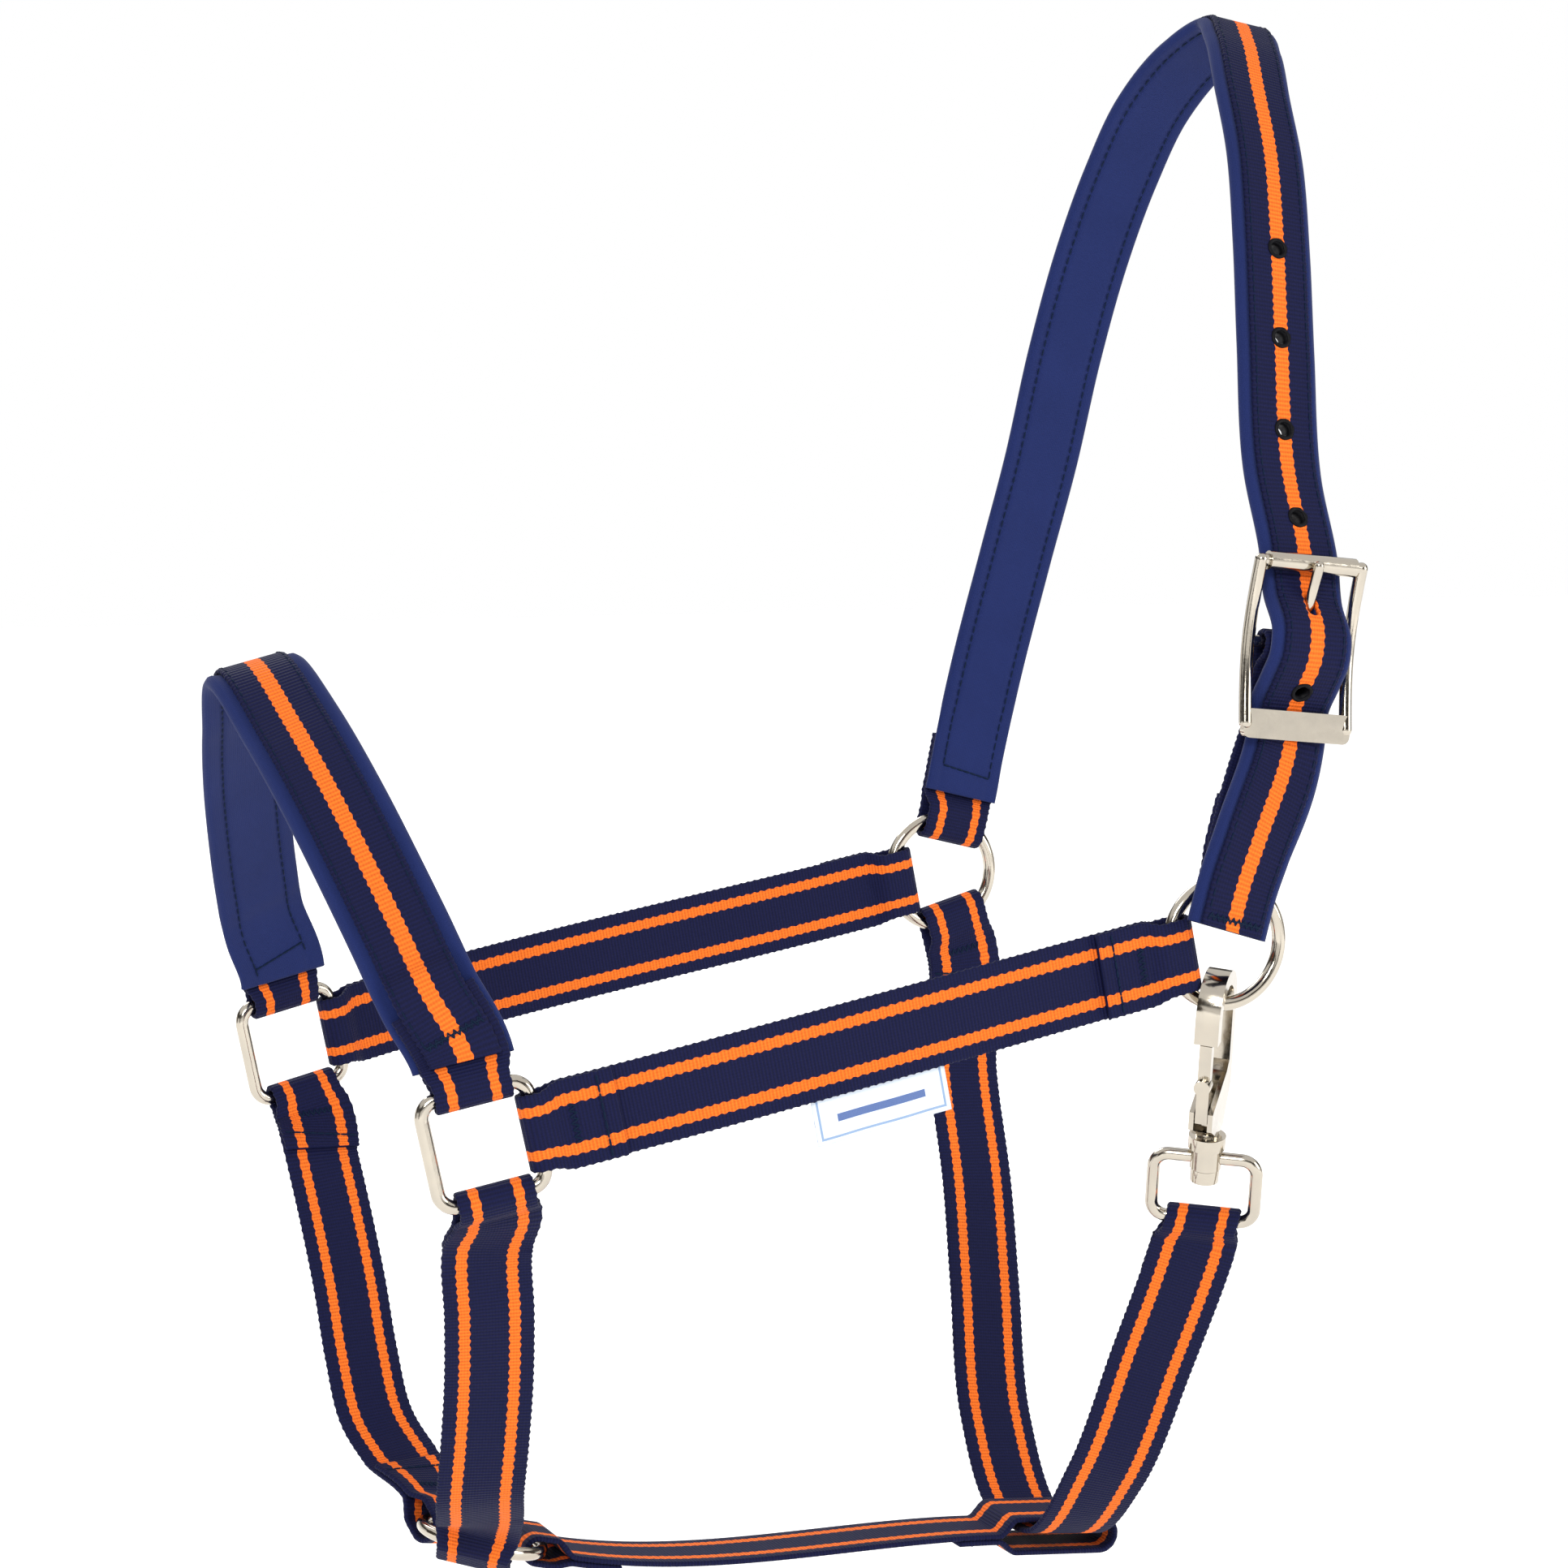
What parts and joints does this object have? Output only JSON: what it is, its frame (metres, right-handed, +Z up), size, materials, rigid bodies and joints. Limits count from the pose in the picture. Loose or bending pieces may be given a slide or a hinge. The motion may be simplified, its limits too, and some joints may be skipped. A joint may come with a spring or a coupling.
{
  "type": "head halter",
  "caption": "Horse head halter of striped navy webbing with padded crown and noseband, metal rings, crown buckle and throat snap hook.",
  "frame": {"origin": "inside of the crown strap where it rests on the poll, on the halter's middle plane", "axes": "+X towards the back of the head, +Y towards the far (off) side, +Z up; the near side with the buckle and snap is -Y"},
  "size_m": [0.3416, 0.2147, 0.4785],
  "materials": {
    "navy_webbing": "matte ribbed nylon webbing with orange stripes",
    "navy_padding": "matte knitted face on soft padding",
    "nickel": "polished nickel plating",
    "spring_steel": "plain spring steel",
    "label_tape": "woven satin label"
  },
  "bodies": {
    "harness": {"near_square_ring": "nickel", "far_square_ring": "nickel", "near_cheek_strap": "navy_webbing", "far_cheek_strap": "navy_webbing", "near_drop_strap": "navy_webbing", "far_drop_strap": "navy_webbing", "jaw_strap": "navy_webbing", "throat_strap": "navy_webbing", "crown_webbing": "navy_webbing", "crown_padding": "navy_padding", "crown_far_loop": "navy_webbing", "buckle_frame": "nickel", "buckle_strap": "navy_webbing", "swivel_loop": "nickel", "size_label": "label_tape", "noseband_padding": "navy_padding", "noseband_webbing": "navy_webbing", "noseband_near_loop": "navy_webbing", "noseband_far_loop": "navy_webbing"},
    "near_ring": {"near_round_ring": "nickel"},
    "far_ring": {"far_round_ring": "nickel"},
    "chin_ring_body": {"chin_ring": "nickel"},
    "roller": {"buckle_roller": "nickel"},
    "tongue": {"buckle_tongue": "nickel"},
    "snap": {"snap_body": "nickel", "snap_gate_pin": "nickel", "snap_gate_spring": "spring_steel"},
    "gate": {"snap_gate": "nickel"}
  },
  "joints": [
    {"name": "near_ring_spin", "type": "hinge", "parent": "harness", "child": "near_ring", "pos_m": [-0.054, -0.098, -0.268], "axis": [0, 1, 0], "continuous": true},
    {"name": "far_ring_spin", "type": "hinge", "parent": "harness", "child": "far_ring", "pos_m": [-0.054, 0.098, -0.268], "axis": [0, 1, 0], "continuous": true},
    {"name": "chin_ring_spin", "type": "hinge", "parent": "harness", "child": "chin_ring_body", "pos_m": [-0.248, 0, -0.448], "axis": [0.2419, 0, 0.9703], "continuous": true},
    {"name": "roller_spin", "type": "hinge", "parent": "harness", "child": "roller", "pos_m": [-0.02766, -0.1, -0.15912], "axis": [0.995, 0, -0.0995], "continuous": true},
    {"name": "tongue_swing", "type": "hinge", "parent": "harness", "child": "tongue", "pos_m": [-0.03, -0.097, -0.1825], "axis": [0.995, 0, -0.0995], "range_deg": [0, 12]},
    {"name": "snap_swivel", "type": "hinge", "parent": "harness", "child": "snap", "pos_m": [-0.05619, -0.098, -0.28587], "axis": [0.0834, 0.2663, -0.9603], "range_deg": [-55, 0]},
    {"name": "gate_swing", "type": "hinge", "parent": "snap", "child": "gate", "pos_m": [-0.05797, -0.0942, -0.31985], "axis": [-0.7613, 0.6388, 0.111], "range_deg": [0, 30], "stiffness_Nm_per_rad": 0.02, "springref_deg": -5.73}
  ]
}
